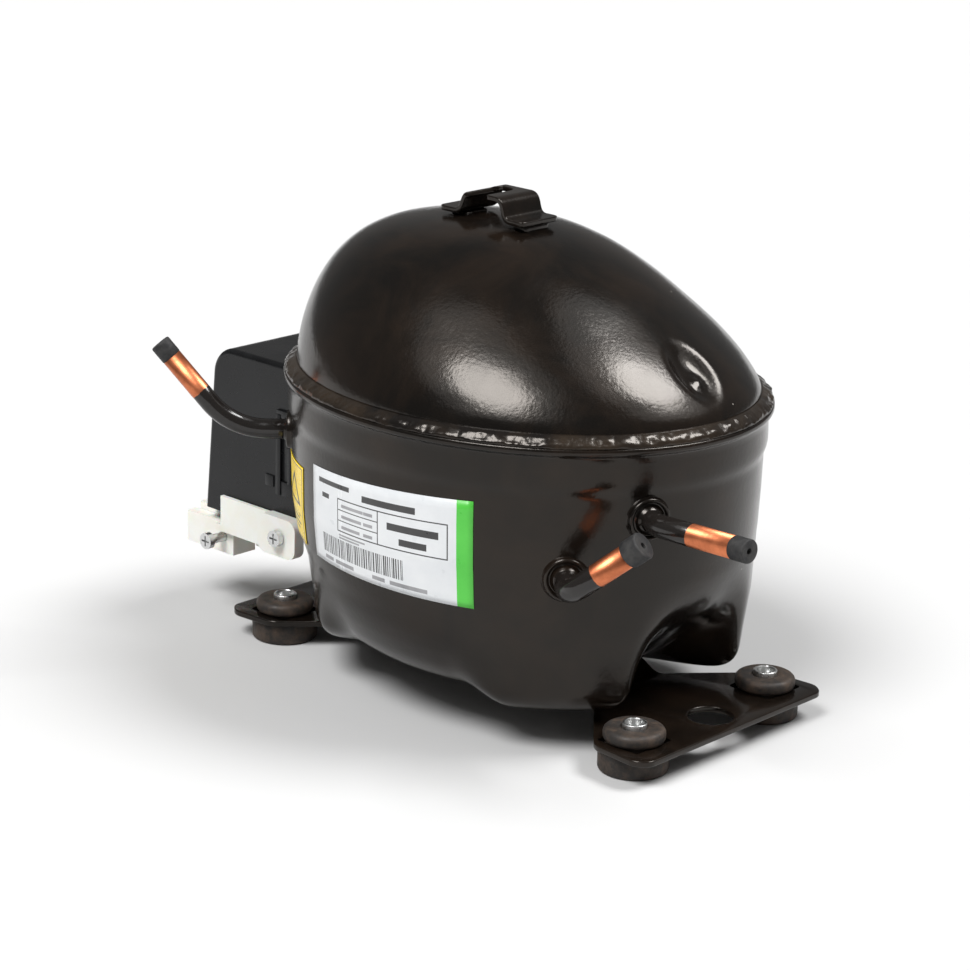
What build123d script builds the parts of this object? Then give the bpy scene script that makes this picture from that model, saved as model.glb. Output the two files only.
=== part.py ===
"""Hermetic reciprocating compressor for a small refrigerator.

Millimetres, +Z up.  The origin is the centre of the four mounting holes, on the
plane the rubber feet stand on.  +X is the end with the suction and discharge
tubes, -X is the electrical end, and the rating label faces -Y.
"""
from build123d import *
from math import sqrt
import os

# ---------------------------------------------------------------- sizes
FOOT_X = 170.0              # mounting holes, along X
FOOT_Y = 70.0               # mounting holes, along Y
SLEEVE_OD = 8.4             # steel sleeve in each rubber foot
SLEEVE_ID = 6.2
SLEEVE_H = 16.5
FOOT_R = 12.0               # rubber below the bracket
FOOT_H = 8.0
DISC_R = 10.6               # rubber above the bracket
PLATE_T = 2.2               # base bracket sheet
SHELL_A = 86.9              # shell half length at the joint
SHELL_B = 73.9              # shell half width at the joint
WALL = 3.0
FIT = 0.1                   # radial gap where the upper shell drops into the lower
LIP_OUT = 1.4               # flange beyond the lower shell's collar
JOINT_Z = 101.0             # step the upper shell stands on
LIP_Z = 107.6
LIP_T = 2.4
CRANK_R = 6.0               # half the stroke
BORE_R = 10.5
AXIS_Z = 119.0              # height of the cylinder axis
HEAD_X = -51.0              # end face of the cylinder
JOURNAL_R = 8.0
PIN_R = 5.0
RUN = 0.03                  # radial running clearance
SLIDE_R = 8.0               # bore of the slide tube
TUBE_WALL_R = 11.0          # outside of the slide tube
STATOR = 98.0               # stator lamination, square
ROTOR_R = 26.0
AIR_GAP = 0.4
STACK_Z = 46.0              # bottom of the stator stack
STACK_H = 32.0
SPRING_X = 54.5
SPRING_Y = 34.5
SPRING_FLOOR = 17.0         # where the lower spring seats stand
LOBE_R = 17.0
COVER_X = -132.0            # outer face of the relay cover
COVER_Y = 33.0
COVER_Z = 38.5
COVER_TOP = 102.5
COVER_DRAFT = 5.0           # lean of the cover's outer wall
SUCTION_R = 4.0             # tube outside radii
DISCHARGE_R = 3.9
PROCESS_R = 3.6
TUBE_WALL = 0.8
PLUG_GAP = 0.02             # rubber plug stem in its tube
PLUG_STEP = 0.4             # plug head under the tube's radius, so a fitting slips over

DECK_TOP = AXIS_Z - TUBE_WALL_R - 8.0
PISTON_R = BORE_R - RUN
FRAME_Z = 92.0

os.makedirs("parts", exist_ok=True)


def save(name, shape):
    export_step(shape, "parts/" + name + ".step")


def oval(a, b, x, z):
    return Pos(x, 0, z) * Ellipse(a, b)


def rod(p, q, r):
    """Round bar of radius r from p to q."""
    p, q = Vector(*p), Vector(*q)
    return Plane(origin=p, z_dir=q - p) * extrude(Circle(r), (q - p).length)


def box(x0, x1, y0, y1, z0, z1):
    mid = ((x0 + x1) / 2, (y0 + y1) / 2, (z0 + z1) / 2)
    return Pos(*mid) * Box(x1 - x0, y1 - y0, z1 - z0)


def ring(r_out, r_in, z0, z1, x=0.0, y=0.0):
    body = Cylinder(r_out, z1 - z0) - Cylinder(r_in, z1 - z0)
    return Pos(x, y, (z0 + z1) / 2) * body


def bent(points, bend, r):
    """Round bar of radius r along straight runs joined by bends."""
    path = FilletPolyline(*points, radius=bend)
    start = Plane(origin=path @ 0, z_dir=path % 0)
    return sweep(start * Circle(r), path=path)


def along(p, d, t):
    return tuple(p[i] + d[i] * t for i in range(3))


def unit(d):
    n = sqrt(sum(c * c for c in d))
    return tuple(c / n for c in d)


# ---------------------------------------------------------------- lower shell
# Deep-drawn bowl, its ends drawn in below, with four round pockets in its
# floor that hold the suspension springs.
bowl_rows = [(94.0, 88.8, 76.0), (88.0, 88.3, 75.5), (76.0, 87.9, 75.3), (66.0, 87.2, 74.9), (54.0, 84.2, 73.6),
             (44.0, 79.0, 71.6), (36.0, 72.5, 69.8), (30.0, 67.0, 68.0), (22.0, 57.0, 64.0), (17.5, 49.0, 58.0), (14.8, 38.0, 46.0)]


def bowl(inset):
    rows = [oval(a - inset, b - inset, 0, z + (inset if z < 20 else inset * (60 - z) / 40 if z < 60 else 0))
            for z, a, b in bowl_rows]
    return loft(rows)


def lobe(x, y, inset):
    top = 60.0 - inset
    body = Pos(x, y, (14.0 + inset + top) / 2) * Cone(LOBE_R - inset, LOBE_R - 3.0 - inset, top - 14.0 - inset)
    low = body.edges().sort_by(Axis.Z)[0]
    return fillet(low, 6.0)


outer = bowl(0.0)
inner = bowl(WALL)
for sx in (-1, 1):
    for sy in (-1, 1):
        outer += lobe(sx * SPRING_X, sy * SPRING_Y, 0.0)
        inner += lobe(sx * SPRING_X, sy * SPRING_Y, WALL)
collar = loft([oval(88.8, 76.0, 0, 94.0), oval(SHELL_A + FIT + WALL, SHELL_B + FIT + WALL, 0, 99.0)])
collar += extrude(oval(SHELL_A + FIT + WALL, SHELL_B + FIT + WALL, 0, 99.0), LIP_Z + LIP_T - 99.0)
collar += extrude(oval(SHELL_A + FIT + WALL + LIP_OUT, SHELL_B + FIT + WALL + LIP_OUT, 0, LIP_Z), LIP_T)
hollow = extrude(oval(83.0, 70.0, 0, 93.9), JOINT_Z - 93.8)
hollow += extrude(oval(SHELL_A + FIT, SHELL_B + FIT, 0, JOINT_Z), LIP_Z + LIP_T - JOINT_Z)

TERMINAL = (-85.0, 0.0, 72.0)
TERMINAL_R = 15.0
suction_at = (63.0, -47.4, 65.0)
suction_out = unit((0.695, -0.719, 0.0))
discharge_at = (78.5, -27.2, 85.0)
discharge_out = unit((0.90, -0.43, 0.0))
process_at = (-68.5, -44.2, 85.0)
process_out = unit((-0.72, -0.69, 0.0))
ports = [(along(suction_at, suction_out, 3.4), suction_out, SUCTION_R),
         (along(discharge_at, discharge_out, 3.3), discharge_out, DISCHARGE_R),
         (along(process_at, process_out, 2.3), process_out, PROCESS_R)]

shell_solid = outer + collar
lower_shell = shell_solid - (inner + hollow)
for at, out, r in ports:
    lower_shell += rod(along(at, out, -4.0), along(at, out, 1.8), 7.2) - inner
    lower_shell -= rod(along(at, out, -16.0), along(at, out, 8.0), r)
lower_shell -= rod((-95, 0, TERMINAL[2]), (-70, 0, TERMINAL[2]), TERMINAL_R)
save("lower_shell", lower_shell)

# ---------------------------------------------------------------- upper shell
# Dome with its high shoulder over the electrical end and a long slope down to
# the tube end; its skirt drops inside the lower shell's collar.
SKIRT_TOP = 113.0
dome_rows = [(JOINT_Z + k * (SKIRT_TOP - JOINT_Z) / 6, -SHELL_A, SHELL_A) for k in range(7)]
dome_rows += [(121.0, -86.6, 81.5), (130.0, -85.3, 71.5), (140.0, -82.0, 57.0), (148.0, -77.0, 44.5),
              (155.0, -69.5, 31.5), (160.0, -60.0, 19.0), (163.4, -46.0, 6.0), (165.2, -28.0, -8.0)]


def dome(inset):
    rows = []
    for z, x0, x1 in dome_rows:
        a = (x1 - x0) / 2 - inset
        drop = inset * 1.05 * min(1.0, (z - SKIRT_TOP) / 50.0) if z > SKIRT_TOP else inset * (z == JOINT_Z)
        rows.append(oval(a, a * SHELL_B / SHELL_A, (x0 + x1) / 2, z - drop))
    return loft(rows)


dome_solid = dome(0.0)
upper_shell = dome_solid - dome(WALL)
save("upper_shell", upper_shell)

# ---------------------------------------------------------------- weld
weld_z = LIP_Z + LIP_T
weld = loft([oval(SHELL_A + 3.9, SHELL_B + 3.9, 0, weld_z), oval(SHELL_A + 3.0, SHELL_B + 3.0, 0, weld_z + 1.8),
             oval(SHELL_A + 1.0, SHELL_B + 1.0, 0, weld_z + 2.9)], ruled=True)
weld -= extrude(oval(SHELL_A + 0.02, SHELL_B + 0.02, 0, weld_z - 1), 6.0)
save("weld_bead", weld)

# ---------------------------------------------------------------- base brackets
# Pressed steel cross-plates; a tongue on each steps up under the bowl between
# two pockets and is welded there.
hole_x = FOOT_X / 2
edge_x = hole_x + 16.5


def bracket(side):
    half = [(51.0, -17.0), (54.0, -17.0), (79.5, -48.0), (84.0, -49.5), (96.0, -49.5), (edge_x, -45.0)]
    outline = half + [(x, -y) for x, y in reversed(half)]
    plate = extrude(Pos(0, 0, FOOT_H) * make_face(Polyline(*outline, close=True)), PLATE_T)
    for sy in (-1, 1):
        plate -= Pos(hole_x, sy * FOOT_Y / 2, FOOT_H + PLATE_T / 2) * Box(17.6, 17.6, 3 * PLATE_T)
    plate -= Pos(89.2, 0, FOOT_H + PLATE_T / 2) * Cylinder(8.0, 3 * PLATE_T)
    tongue = [(52.0, FOOT_H), (52.0, FOOT_H + PLATE_T), (44.0, 15.6), (26.0, 15.6), (26.0, 13.0), (43.0, 13.0)]
    plate += extrude(Plane.XZ * make_face(Polyline(*tongue, close=True)), 17.0, both=True)
    plate -= shell_solid
    plate = max(plate.solids(), key=lambda s: s.volume)
    return plate if side > 0 else mirror(plate, about=Plane.YZ)


save("base_bracket_tube_end", bracket(1))
save("base_bracket_relay_end", bracket(-1))

# ---------------------------------------------------------------- rubber feet
feet = [(1, -1, "front_tube_end"), (1, 1, "back_tube_end"), (-1, -1, "front_relay_end"), (-1, 1, "back_relay_end")]
sleeves = []
for sx, sy, where in feet:
    x, y = sx * FOOT_X / 2, sy * FOOT_Y / 2
    foot = Pos(x, y, FOOT_H / 2) * Cylinder(FOOT_R, FOOT_H)
    foot = fillet(foot.edges().sort_by(Axis.Z)[0], 1.2)
    foot += Pos(x, y, FOOT_H + PLATE_T / 2) * Cylinder(7.9, PLATE_T)
    disc_z = FOOT_H + PLATE_T
    disc = Pos(x, y, disc_z + 2.4) * Cylinder(DISC_R, 4.8)
    foot += fillet(disc.edges(), 1.6)
    foot -= Pos(x, y, 10.0) * Cylinder(SLEEVE_OD / 2, 40.0)
    save("foot_" + where, foot)
    sleeves.append(ring(SLEEVE_OD / 2, SLEEVE_ID / 2, 0.0, SLEEVE_H, x, y))
save("foot_sleeves", Compound(sleeves))

# ---------------------------------------------------------------- top clip
# Hat-section strip welded to the dome: two wings and a raised middle with an
# open-ended slot.
CLIP_T = 1.8
wing_z, hat_z = 165.8, 174.6
hat = box(-35.5, 4.5, -9.5, 9.5, wing_z, wing_z + CLIP_T)
hat += box(-24.0, -5.0, -9.5, 9.5, wing_z, hat_z)
hat -= box(-24.0 + CLIP_T, -5.0 - CLIP_T, -11, 11, 160, hat_z - CLIP_T)
hat -= box(-20.4, -12.0, -11, 2.0, 170, 180)
hat -= Pos(-16.2, 2.0, 175) * Cylinder(4.2, 10)
pads = box(-33.0, -25.0, -6, 6, 160.0, wing_z) + box(-4.0, 3.0, -6, 6, 158.0, wing_z)
hat += pads - dome_solid
save("top_clip", hat)

# ---------------------------------------------------------------- tubes
s_elbow = along(suction_at, suction_out, 19.0)
s_tip = (95.5, -54.5, 82.0)
suction_end = unit(tuple(s_tip[i] - s_elbow[i] for i in range(3)))
discharge_end = unit((1.0, -0.05, 0.04))
d_elbow = along(discharge_at, discharge_out, 11.0)
d_tip = along(d_elbow, discharge_end, 33.0)
process_end = unit((-0.52, -0.40, 0.76))
p_elbow = along(process_at, process_out, 24.0)
p_tip = along(p_elbow, process_end, 33.0)
tubes = [("suction", suction_at, suction_out, s_elbow, s_tip, SUCTION_R, 9.0, suction_end),
         ("discharge", discharge_at, discharge_out, d_elbow, d_tip, DISCHARGE_R, 16.0, discharge_end),
         ("process", process_at, process_out, p_elbow, p_tip, PROCESS_R, 26.0, process_end)]
for name, at, out, elbow, tip, r, bend, end in tubes:
    route = [along(at, out, -7.0), elbow, tip]
    tube = bent(route, bend, r) - bent(route, bend, r - TUBE_WALL)
    save(name + "_tube", tube)
    plug = rod(along(tip, end, -7.0), tip, r - TUBE_WALL - PLUG_GAP)
    plug += rod(tip, along(tip, end, 6.5), r - PLUG_STEP)
    plug -= rod(along(tip, end, 1.5), along(tip, end, 7.0), 1.1)
    save(name + "_plug", plug)

# ---------------------------------------------------------------- label, sticker
skin = bowl(-0.3)
label = (skin & box(-33.4, 39.8, -90, -20, 51.5, 89)) - shell_solid
save("rating_label", label)
sticker = (skin & box(-64.5, -42.8, -80, -34.4, 53, 80)) - shell_solid
save("warning_sticker", sticker)

# ---------------------------------------------------------------- terminal
# Three pins sealed with glass in a steel cup pressed through the shell wall.
t = TERMINAL
pins_at = [(0.0, 7.0), (-6.1, -3.5), (6.1, -3.5)]
cup = rod((-90.2, 0, t[2]), (-81.2, 0, t[2]), TERMINAL_R - 0.02)
cup -= rod((-87.7, 0, t[2]), (-70, 0, t[2]), TERMINAL_R - 1.6)
pins = []
for y, z in pins_at:
    cup -= rod((-95, y, t[2] + z), (-70, y, t[2] + z), 1.6)
    pins.append(rod((-99.0, y, t[2] + z), (-72.0, y, t[2] + z), 1.58))
save("terminal_cup", cup)
save("terminal_pins", Compound(pins))

# ---------------------------------------------------------------- relay parts
grip = [rod((-110, y, t[2] + z), (-80, y, t[2] + z), 1.75) for y, z in pins_at]
starter = box(-116, -91.5, -14, 14, 61.5, 90)
starter = fillet(starter.edges().filter_by(Axis.X), 2.5)
protector = Pos(-104, 0, 51) * Cylinder(11.0, 20.0)
for g in grip:
    starter -= g
save("start_relay", starter)
save("overload_protector", protector)
frame = box(-100, -60, -27, 27, 45, 93) - box(-110, -50, -25.4, 25.4, 46.6, 91.4)
frame -= shell_solid
frame -= box(-110, -50, -18, 18, 40, 60)
frame = max(frame.solids(), key=lambda s: s.volume)
save("cover_bracket", frame)


def drafted(inset, low, far):
    """Block whose outer wall leans in towards the top, `inset` inside the cover's faces."""
    top = COVER_TOP - inset
    side = [(COVER_X + inset, low), (COVER_X + COVER_DRAFT + inset, top), (far, top), (far, low)]
    return extrude(Plane.XZ * make_face(Polyline(*side, close=True)), COVER_Y - inset, both=True)


case = drafted(0.0, COVER_Z, -66.0)
rounded = [e for e in case.edges().filter_by(Axis.Y) if e.center().X < -100 and e.center().Z > 60]
case = fillet(rounded, 11.0)
rounded = [e for e in case.edges() if e.center().X < -100 and abs(abs(e.center().Y) - COVER_Y) < 1.0]
case = fillet(rounded, 2.0)
void = drafted(2.0, COVER_Z - 5.0, -50.0)
rounded = [e for e in void.edges().filter_by(Axis.Y) if e.center().X < -100 and e.center().Z > 60]
void = fillet(rounded, 9.0)
cover = case - void
cover -= extrude(oval(SHELL_A + 2.1, SHELL_B + 2.3, 0, 20), 74)
cover -= loft([oval(SHELL_A + 2.1, SHELL_B + 2.3, 0, 93.9), oval(SHELL_A + 3.8, SHELL_B + 3.8, 0, 98.0)])
cover -= extrude(oval(SHELL_A + 3.8, SHELL_B + 3.8, 0, 97.9), 10)
for z in (62, 76):
    cover -= box(-88, -84, -COVER_Y - 1, -COVER_Y + 3, z, z + 8)
cover = max(cover.solids(), key=lambda s: s.volume)
save("relay_cover", cover)

# ---------------------------------------------------------------- cord clamp
# White nylon strain relief below the cover: a carrier with two screw towers, an
# upright tab outside the cover, and a loose bar that closes on the mains lead.
carrier = box(-124, -98, -21, 14, 29.5, 34) + box(-114, -96, -12, 12, 34, 41.0)
carrier += box(-143, -117, -32, -21, 22, 34) + box(-117, -102, -20.5, -11, 23.5, 32)
carrier += box(-124, -94, -34.9, -21, 31.5, 34) + box(-121, -94, -34.9, -33.3, 34, 45.5)
tower = box(-97, -77, -38, -33.4, 31, 46)
carrier += fillet(tower.edges().filter_by(Axis.Y), 4.0)
carrier -= box(-144, -128, -27.5, -24.5, 27, 40)
clamp_at = [(-122.5, -32.0, 28.5, 7.0, 8.0), (-85.5, -38.0, 38.6, 0.6, 4.2)]
screws = []
for x, y, z, gap, depth in clamp_at:
    carrier -= rod((x, y - 5, z), (x, y + depth + 1.0, z), 1.9)
    shank = rod((x, y - gap, z), (x, y + depth, z), 1.8)
    head = rod((x, y - gap - 2.2, z), (x, y - gap, z), 3.1)
    head -= box(x - 2.0, x + 2.0, y - gap - 3, y - gap - 1.2, z - 0.35, z + 0.35)
    head -= box(x - 0.35, x + 0.35, y - gap - 3, y - gap - 1.2, z - 2.0, z + 2.0)
    screws.append(shank + head)
save("cord_clamp", carrier)
save("clamp_screws", Compound(screws))
save("clamp_bar", box(-141, -130, -27.3, -24.7, 27.2, 37.0))
save("earth_screw", rod((-96.5, -22.0, 46.7), (-96.5, -22.0, 50.4), 3.0))

# ---------------------------------------------------------------- crankcase
# Cast frame: deck, long main bearing, four legs to the stator and the cylinder.
z_deck = FRAME_Z
leg = STATOR / 2 - 9.0
crankcase = box(-47, 47, -44, 44, z_deck, DECK_TOP)
crankcase = fillet(crankcase.edges().filter_by(Axis.Z), 8.0)
crankcase += Pos(0, 0, 88) * Cylinder(14.0, 8.0)
crankcase += Pos(0, 0, (STACK_Z + STACK_H + 6 + 92) / 2) * Cylinder(14.0, 92 - STACK_Z - STACK_H - 6)
for sx in (-1, 1):
    for sy in (-1, 1):
        crankcase += ring(6.0, 2.6, STACK_Z + STACK_H, z_deck, sx * leg, sy * leg)
        crankcase -= Pos(sx * leg, sy * leg, z_deck) * Cylinder(2.6, 10)
crankcase += rod((HEAD_X, 0, AXIS_Z), (-26, 0, AXIS_Z), 16.0)
crankcase += box(HEAD_X, HEAD_X + 8, -21, 21, DECK_TOP, AXIS_Z + 21)
crankcase += box(HEAD_X + 4, -28, -13, 13, DECK_TOP - 4, AXIS_Z)
crankcase -= rod((HEAD_X - 5, 0, AXIS_Z), (0, 0, AXIS_Z), BORE_R)
crankcase -= Pos(0, 0, 90) * Cylinder(JOURNAL_R + RUN, 60)
for y in (-16.5, 16.5):
    for z in (-16.5, 16.5):
        crankcase -= rod((HEAD_X - 1, y, AXIS_Z + z), (HEAD_X + 9, y, AXIS_Z + z), 2.1)
save("crankcase", crankcase)

# ---------------------------------------------------------------- crankshaft
web_z0, web_z1 = DECK_TOP + 1.0, AXIS_Z - TUBE_WALL_R - 1.0
crank = Pos(0, 0, (40 + web_z0) / 2) * Cylinder(JOURNAL_R, web_z0 - 40)
crank -= Pos(0, 0, 40) * Cylinder(4.0, 40)
web = Pos(0, 0, (web_z0 + web_z1) / 2) * Cylinder(21.0, web_z1 - web_z0)
web -= box(8, 30, 12, 30, web_z0 - 1, web_z1 + 1) + box(8, 30, -30, -12, web_z0 - 1, web_z1 + 1)
crank += web
pin_top = AXIS_Z + 6.0
crank += Pos(CRANK_R, 0, (web_z1 + pin_top) / 2) * Cylinder(PIN_R, pin_top - web_z1)
crank -= Pos(CRANK_R / 2, 0, pin_top) * Cylinder(1.2, 6.0)
save("crankshaft", crank)
save("oil_plug", Pos(CRANK_R / 2, 0, pin_top - 1.5) * Cylinder(1.17, 3.0))
save("thrust_washer", ring(15.0, JOURNAL_R + 0.1, DECK_TOP, DECK_TOP + 0.95))

# ---------------------------------------------------------------- slide and piston
slide = rod((CRANK_R, -9, AXIS_Z), (CRANK_R, 9, AXIS_Z), SLIDE_R - RUN)
slide -= Pos(CRANK_R, 0, AXIS_Z) * Cylinder(PIN_R + RUN, 30)
save("slide_block", slide)
x0 = CRANK_R
crown = HEAD_X + 0.9 + 2 * CRANK_R
piston = rod((x0, -19, AXIS_Z), (x0, 19, AXIS_Z), TUBE_WALL_R)
piston += rod((crown + 20, 0, AXIS_Z), (x0, 0, AXIS_Z), 7.5)
piston += rod((crown, 0, AXIS_Z), (crown + 22, 0, AXIS_Z), PISTON_R)
piston -= rod((x0, -20, AXIS_Z), (x0, 20, AXIS_Z), SLIDE_R)
piston -= box(x0 - PIN_R - 0.4, x0 + PIN_R + 0.4, -CRANK_R - PIN_R - 0.4, CRANK_R + PIN_R + 0.4, AXIS_Z - 14, AXIS_Z)
save("piston", piston)

# ---------------------------------------------------------------- valves and head
def head_holes(x0, x1, r):
    return [rod((x0, y, AXIS_Z + z), (x1, y, AXIS_Z + z), r) for y in (-16.5, 16.5) for z in (-16.5, 16.5)]


PLATE_X = HEAD_X - 0.4
plate_out = PLATE_X - 3.0
valve_plate = box(plate_out, PLATE_X, -21, 21, AXIS_Z - 19, AXIS_Z + 21)
gasket = box(PLATE_X, HEAD_X, -21, 21, AXIS_Z - 19, AXIS_Z + 21)
gasket -= rod((PLATE_X - 1, 0, AXIS_Z), (HEAD_X + 1, 0, AXIS_Z), BORE_R + 0.3)
head = box(plate_out - 11.0, plate_out - 0.6, -21, 21, AXIS_Z - 19, AXIS_Z + 21)
head = fillet(head.edges().filter_by(Axis.X), 4.0)
head -= box(plate_out - 8.6, plate_out, -17, 17, AXIS_Z - 12.5, AXIS_Z + 12.5)
head += box(plate_out - 10.0, plate_out - 0.6, -17, 17, AXIS_Z - 1.0, AXIS_Z + 0.6)
head_gasket = box(plate_out - 0.6, plate_out, -21, 21, AXIS_Z - 19, AXIS_Z + 21)
head_gasket -= box(plate_out - 2, plate_out + 1, -16.5, 16.5, AXIS_Z - 12, AXIS_Z - 1.5)
head_gasket -= box(plate_out - 2, plate_out + 1, -16.5, 16.5, AXIS_Z + 1.1, AXIS_Z + 12)
for h in head_holes(plate_out - 20, HEAD_X + 9, 2.1):
    valve_plate -= h
    gasket -= h
    head -= h
    head_gasket -= h
valve_plate -= rod((plate_out - 1, 0, AXIS_Z + 6), (HEAD_X, 0, AXIS_Z + 6), 2.5)
valve_plate -= rod((plate_out - 1, 0, AXIS_Z - 6), (HEAD_X, 0, AXIS_Z - 6), 3.0)
save("valve_plate", valve_plate)
save("cylinder_gasket", gasket)
save("head_gasket", head_gasket)
save("cylinder_head", head)
suction_reed = box(PLATE_X, PLATE_X + 0.3, -3.6, 3.6, AXIS_Z - 9.0, AXIS_Z + 3.0)
save("suction_reed", suction_reed)
discharge_reed = box(plate_out - 0.3, plate_out, -10, 8, AXIS_Z + 2.5, AXIS_Z + 9.5)
save("discharge_reed", discharge_reed)
stop = box(plate_out - 1.7, plate_out - 0.3, -14.5, -10.2, AXIS_Z + 2.5, AXIS_Z + 9.5)
stop += box(plate_out - 3.4, plate_out - 2.0, -13.0, 8, AXIS_Z + 2.5, AXIS_Z + 9.5)
stop += box(plate_out - 2.4, plate_out - 0.3, -14.5, -11.5, AXIS_Z + 2.5, AXIS_Z + 9.5)
save("reed_stop", stop)
bolts = []
for y in (-16.5, 16.5):
    for z in (-16.5, 16.5):
        shank = rod((plate_out - 11.0, y, AXIS_Z + z), (HEAD_X + 7.5, y, AXIS_Z + z), 2.05)
        hexagon = Plane(origin=(plate_out - 11.0, y, AXIS_Z + z), z_dir=(-1, 0, 0)) * extrude(RegularPolygon(4.2, 6), 3.2)
        bolts.append(shank + hexagon)
save("head_screws", Compound(bolts))

# ---------------------------------------------------------------- mufflers
muffler = box(-52, -16, 26, 50, DECK_TOP + 0.1, 132)
muffler = fillet(muffler.edges(), 4.0)
muffler -= box(-49.5, -18.5, 28.5, 47.5, DECK_TOP + 2.6, 129.5)
save("suction_muffler", muffler)
can = Pos(-34, -33, (DECK_TOP + 126) / 2) * Cylinder(11.0, 126 - DECK_TOP)
can = fillet(can.edges(), 2.5)
can -= Pos(-34, -33, (DECK_TOP + 126) / 2) * Cylinder(9.6, 122 - DECK_TOP)
can -= rod((-34, -60, 110), (-34, -38, 110), 2.2)
save("discharge_muffler", can)
inside = along(discharge_at, discharge_out, -7.2)
loop_path = Spline((-34, -44.4, 110), (-33, -54.0, 102), (-24, -58.5, 80), (2, -60.5, 60), (38, -56, 53), (62, -34, 60),
                   (60, -19, 78), inside, tangents=[(0, -1, 0), discharge_out])
loop_start = Plane(origin=loop_path @ 0, z_dir=loop_path % 0)
save("shock_loop", sweep(loop_start * Circle(2.15), path=loop_path))

# ---------------------------------------------------------------- motor
stack_top = STACK_Z + STACK_H
stator = box(-STATOR / 2, STATOR / 2, -STATOR / 2, STATOR / 2, STACK_Z, stack_top)
stator = chamfer(stator.edges().filter_by(Axis.Z), 7.0)
stator -= Pos(0, 0, STACK_Z + STACK_H / 2) * Cylinder(ROTOR_R + AIR_GAP, STACK_H + 2)
slots = PolarLocations(34.0, 24)
slot = Box(14.0, 3.6, STACK_H + 2)
stator -= [Pos(0, 0, STACK_Z + STACK_H / 2) * p * slot for p in slots]
for sx in (-1, 1):
    for sy in (-1, 1):
        stator -= Pos(sx * leg, sy * leg, 60) * Cylinder(2.6, 60)
save("stator_core", stator)
coil = ring(43.0, 29.5, stack_top + 0.2, stack_top + 8.0) + ring(43.0, 29.5, STACK_Z - 9.0, STACK_Z - 0.2)
coil = fillet(coil.edges().filter_by(GeomType.CIRCLE), 2.5)
coil += [Pos(0, 0, STACK_Z + STACK_H / 2) * p * Box(11.0, 3.0, STACK_H + 4) for p in slots]
save("stator_windings", coil)
long_screws = []
for sx in (-1, 1):
    for sy in (-1, 1):
        shank = Pos(sx * leg, sy * leg, (STACK_Z - 1 + z_deck + 4) / 2) * Cylinder(2.5, z_deck + 5 - STACK_Z)
        cap = Pos(sx * leg, sy * leg, STACK_Z - 3.6) * extrude(RegularPolygon(4.6, 6), 3.6)
        long_screws.append(shank + cap)
save("stator_screws", Compound(long_screws))
save("rotor_core", ring(ROTOR_R, JOURNAL_R, STACK_Z, stack_top))
rings = [ring(ROTOR_R - 1.0, 14.6, STACK_Z - 4.5, STACK_Z), ring(ROTOR_R - 1.0, 14.6, stack_top, stack_top + 4.5)]
save("rotor_rings", Compound(rings))
pickup = loft([Pos(0, 0, 21) * Circle(1.8), Pos(0, 0, 40) * Circle(4.6)]) + Pos(0, 0, 42.5) * Cylinder(3.98, 5)
pickup -= Pos(0, 0, 30) * Cylinder(1.0, 60)
save("oil_pickup", pickup)

# ---------------------------------------------------------------- suspension
TURNS = 5
WIRE_R = 1.05
coil_r = 7.3
lower, upper = [], []
for sx, sy, where in feet:
    x, y = sx * SPRING_X, sy * SPRING_Y
    lower.append(Pos(x, y, SPRING_FLOOR + 1.2) * Cylinder(7.0, 2.4) + Pos(x, y, SPRING_FLOOR + 5.0) * Cylinder(5.9, 7.0))
    seat = Pos(x, y, STACK_Z - 2.0) * Cylinder(8.6, 4.0) + Pos(x, y, STACK_Z - 7.5) * Cylinder(5.9, 8.0)
    upper.append(seat - box(-200, 200, -200, 200, STACK_Z - 0.02, STACK_Z + 5))
    z0 = SPRING_FLOOR + 2.4 + WIRE_R
    z1 = STACK_Z - 4.0 - WIRE_R
    helix = Helix(pitch=(z1 - z0) / TURNS, height=z1 - z0, radius=coil_r)
    wire = sweep(Plane(origin=helix @ 0, z_dir=helix % 0) * Circle(WIRE_R), path=helix)
    save("spring_" + where, Pos(x, y, z0) * wire)
save("spring_lower_seats", Compound(lower))
save("spring_upper_seats", Compound(upper))
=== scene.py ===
"""Hermetic reciprocating compressor in gloss black enamel, on rubber feet."""
import math

import bmesh
import bpy
import numpy as np
from mathutils import Matrix, Quaternion, Vector, noise


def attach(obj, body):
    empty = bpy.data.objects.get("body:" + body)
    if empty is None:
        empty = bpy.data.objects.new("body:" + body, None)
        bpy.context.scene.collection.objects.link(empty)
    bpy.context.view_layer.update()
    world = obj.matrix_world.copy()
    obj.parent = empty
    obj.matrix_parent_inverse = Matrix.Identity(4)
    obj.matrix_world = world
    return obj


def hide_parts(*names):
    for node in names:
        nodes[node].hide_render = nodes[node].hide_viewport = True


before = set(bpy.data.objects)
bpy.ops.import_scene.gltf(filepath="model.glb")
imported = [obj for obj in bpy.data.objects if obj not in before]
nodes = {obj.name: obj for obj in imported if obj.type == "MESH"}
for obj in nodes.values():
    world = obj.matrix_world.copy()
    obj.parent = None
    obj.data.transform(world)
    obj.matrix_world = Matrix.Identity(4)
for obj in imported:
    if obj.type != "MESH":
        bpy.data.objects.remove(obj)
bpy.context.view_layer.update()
mm = 0.001

# ---------------------------------------------------------------- camera
# A long lens three-quarter view from above the label side and the tube end,
# turned a little about its own line of sight.
view_turn = math.radians(42.14)
view_height = math.radians(16.56)
view_roll = math.radians(1.85)
view_distance = 1.0
look_at = Vector((0.0, 0.0, 0.090))

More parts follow.
